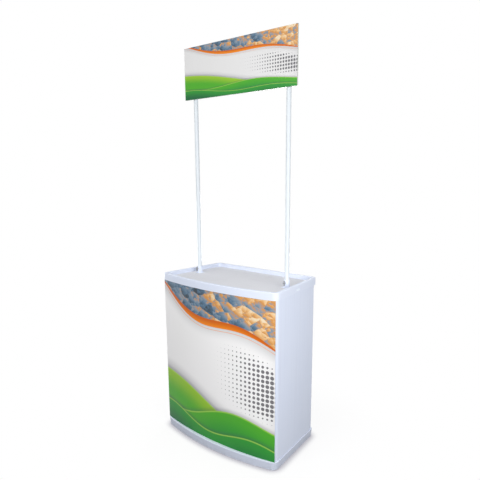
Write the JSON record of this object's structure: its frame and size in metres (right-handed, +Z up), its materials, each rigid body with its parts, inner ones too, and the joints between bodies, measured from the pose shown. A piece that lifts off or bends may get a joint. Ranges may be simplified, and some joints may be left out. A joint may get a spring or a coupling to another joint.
{
  "type": "promotional counter",
  "caption": "Portable counter with a bowed printed front, recessed top, open back with a shelf, and a header sign on two poles.",
  "frame": {"origin": "on the floor, under the centre of the bounding box", "axes": "+X to the right of a visitor facing the counter, +Y to the back where the attendant stands, +Z up"},
  "size_m": [0.8302, 0.5117, 2.24],
  "materials": {
    "moulding": "white moulded ABS, satin, fine grain",
    "sheet": "white extruded PVC sheet, satin",
    "print": null,
    "worktop": "light grey fine-textured laminate",
    "tube": "white powder coat on aluminium tube",
    "coupler": "mill finish aluminium",
    "board": "white foamed PVC board",
    "knob": "grey moulded plastic, fine texture",
    "rubber": "black rubber",
    "hook_tape": "white hook and loop tape",
    "steel": "zinc plated steel"
  },
  "bodies": {
    "counter": {"base_tray": "moulding", "base_feet": "rubber", "wrap_panel": "sheet", "front_panel": "sheet", "front_graphic": "print", "hook_strips": "hook_tape", "left_edge_trim": "sheet", "right_edge_trim": "sheet", "front_left_upright": "tube", "front_right_upright": "tube", "rear_left_upright": "tube", "rear_right_upright": "tube", "shelf_clips": "moulding"},
    "shelf": {"shelf": "moulding"},
    "tabletop": {"tabletop_tray": "moulding", "worktop_panel": "worktop", "left_pole_socket": "moulding", "right_pole_socket": "moulding", "socket_screws": "steel", "left_catch_housing": "moulding", "right_catch_housing": "moulding"},
    "left_knob": {"left_clamp_knob": "knob"},
    "right_knob": {"right_clamp_knob": "knob"},
    "left_catch": {"left_catch_button": "moulding"},
    "right_catch": {"right_catch_button": "moulding"},
    "lower_mast": {"left_lower_pole": "tube", "right_lower_pole": "tube", "left_pole_coupler": "coupler", "right_pole_coupler": "coupler"},
    "upper_mast": {"left_upper_pole": "tube", "right_upper_pole": "tube", "pole_end_plugs": "knob"},
    "header": {"header_panel": "board", "header_edge_band": "sheet", "header_graphic": "print", "left_header_sleeve": "moulding", "right_header_sleeve": "moulding", "header_rivets": "steel"}
  },
  "joints": [
    {"name": "tabletop_lift", "type": "slide", "parent": "counter", "child": "tabletop", "axis": [0, 0, 1], "range_m": [0, 0.05]},
    {"name": "shelf_lift", "type": "slide", "parent": "counter", "child": "shelf", "axis": [0, 0, 1], "range_m": [0, 0.3]},
    {"name": "left_knob_turn", "type": "hinge", "parent": "tabletop", "child": "left_knob", "pos_m": [-0.323, 0.0044, 0.973], "axis": [0, -1, 0], "range_deg": [0, 450]},
    {"name": "right_knob_turn", "type": "hinge", "parent": "tabletop", "child": "right_knob", "pos_m": [0.323, 0.0044, 0.973], "axis": [0, -1, 0], "range_deg": [0, 450]},
    {"name": "left_catch_press", "type": "slide", "parent": "tabletop", "child": "left_catch", "axis": [0.9944, -0.1061, 0], "range_m": [0, 0.0025], "stiffness_N_per_m": 600},
    {"name": "right_catch_press", "type": "slide", "parent": "tabletop", "child": "right_catch", "axis": [-0.9944, -0.1061, 0], "range_m": [0, 0.0025], "stiffness_N_per_m": 600},
    {"name": "mast_lift", "type": "slide", "parent": "tabletop", "child": "lower_mast", "axis": [0, 0, 1], "range_m": [0, 0.11]},
    {"name": "upper_pole_lift", "type": "slide", "parent": "lower_mast", "child": "upper_mast", "axis": [0, 0, 1], "range_m": [0, 0.065]},
    {"name": "header_lift", "type": "slide", "parent": "upper_mast", "child": "header", "axis": [0, 0, 1], "range_m": [0, 0.21]}
  ]
}
